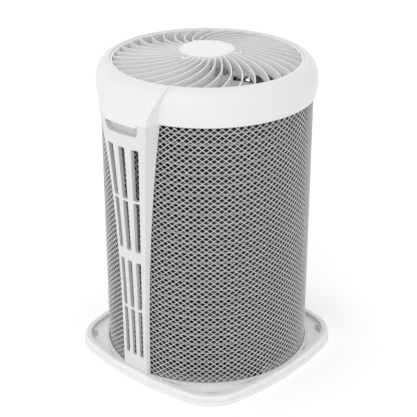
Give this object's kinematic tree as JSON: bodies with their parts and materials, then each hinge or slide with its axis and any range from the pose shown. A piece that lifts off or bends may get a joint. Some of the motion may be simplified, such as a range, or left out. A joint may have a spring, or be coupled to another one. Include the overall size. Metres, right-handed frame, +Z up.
{
  "type": "outdoor condensing unit",
  "caption": "Round top-discharge outdoor unit of a split air conditioner: square base, netted coil drum, slotted front column, domed ring cover and swirl-vane fan grille.",
  "frame": {"origin": "centre of the underside of the base, on the surface it stands on", "axes": "+Z up, -Y the front with the slotted column, +Y the rear with the service cover and valves, +X to the right seen from the front"},
  "size_m": [0.49, 0.51, 0.7053],
  "materials": {
    "white_plastic": "satin moulded, fine grain",
    "base_plastic": "satin moulded",
    "net_wire": "plastic coated wire",
    "fin_aluminium": "dark coated fins",
    "copper": "drawn copper",
    "tube_aluminium": "drawn tube",
    "zinc_sheet": "galvanised sheet",
    "black_plastic": "matte",
    "steel": "zinc plated",
    "motor_paint": "satin grey paint",
    "winding_iron": "laminated iron and windings",
    "iron": "machined iron",
    "fan_plastic": "glass filled plastic",
    "brass": "machined",
    "black_paint": "satin black paint",
    "rubber": "moulded",
    "pipe_foam": "foam lagging",
    "board": "printed board with parts",
    "capacitor_can": "drawn can"
  },
  "bodies": {
    "casing": {"accumulator": "black_paint", "accumulator_strap": "rubber", "base_pan": "base_plastic", "cable_gland": "black_plastic", "capillary_tube": "copper", "coil_end_plates": "zinc_sheet", "coil_feet": "black_plastic", "coil_fins": "fin_aluminium", "coil_tubes": "tube_aluminium", "column_screws": "steel", "compressor_feet": "black_paint", "compressor_grommets": "rubber", "compressor_pump": "iron", "compressor_shell": "black_paint", "compressor_stator": "winding_iron", "compressor_studs": "steel", "control_board": "board", "discharge_grille": "white_plastic", "discharge_pipe": "copper", "electrics_box": "zinc_sheet", "electrics_lid": "zinc_sheet", "electrics_post": "zinc_sheet", "fan_motor_bearings": "steel", "fan_motor_case": "motor_paint", "fan_motor_stator": "winding_iron", "fan_orifice": "white_plastic", "filter_drier": "copper", "front_column": "white_plastic", "gas_valve_body": "brass", "grille_screws": "steel", "hub_cap": "white_plastic", "liquid_pipe": "copper", "liquid_valve_body": "brass", "motor_screws": "steel", "net_guard": "net_wire", "return_bends": "tube_aluminium", "run_capacitor": "capacitor_can", "suction_elbow": "copper", "suction_pipe": "pipe_foam", "terminal_block": "black_plastic", "terminal_cover": "black_plastic", "top_cover": "white_plastic", "valve_plate": "zinc_sheet"},
    "fan_rotor": {"fan_motor_rotor": "steel", "fan_impeller": "fan_plastic", "fan_nut": "black_plastic"},
    "compressor_crank": {"compressor_rotor": "winding_iron"},
    "rear_access_cover": {"service_cover": "white_plastic", "service_cover_screws": "steel"},
    "liquid_cap": {"liquid_valve_cap": "brass"},
    "gas_cap": {"gas_valve_cap": "brass"},
    "liquid_stem": {"liquid_valve_stem": "steel"},
    "gas_stem": {"gas_valve_stem": "steel"},
    "port_cap": {"service_port_cap": "brass"}
  },
  "joints": [
    {"name": "fan_spin", "type": "hinge", "parent": "casing", "child": "fan_rotor", "pos_m": [0, 0, 0.636], "axis": [0, 0, 1], "continuous": true},
    {"name": "compressor_spin", "type": "hinge", "parent": "casing", "child": "compressor_crank", "pos_m": [0, 0, 0.19], "axis": [0, 0, 1], "continuous": true},
    {"name": "rear_cover_slide", "type": "slide", "parent": "casing", "child": "rear_access_cover", "axis": [0, 1, 0], "range_m": [0, 0.06]},
    {"name": "liquid_cap_lift", "type": "slide", "parent": "casing", "child": "liquid_cap", "axis": [0, 0, 1], "range_m": [0, 0.025]},
    {"name": "gas_cap_lift", "type": "slide", "parent": "casing", "child": "gas_cap", "axis": [0, 0, 1], "range_m": [0, 0.025]},
    {"name": "liquid_stem_turn", "type": "hinge", "parent": "casing", "child": "liquid_stem", "pos_m": [-0.028, 0.23, 0.1], "axis": [0, 0, 1], "range_deg": [-1440, 0]},
    {"name": "gas_stem_turn", "type": "hinge", "parent": "casing", "child": "gas_stem", "pos_m": [0.016, 0.23, 0.1], "axis": [0, 0, 1], "range_deg": [-1800, 0]},
    {"name": "port_cap_pull", "type": "slide", "parent": "casing", "child": "port_cap", "axis": [1, 0, 0], "range_m": [0, 0.012]}
  ]
}
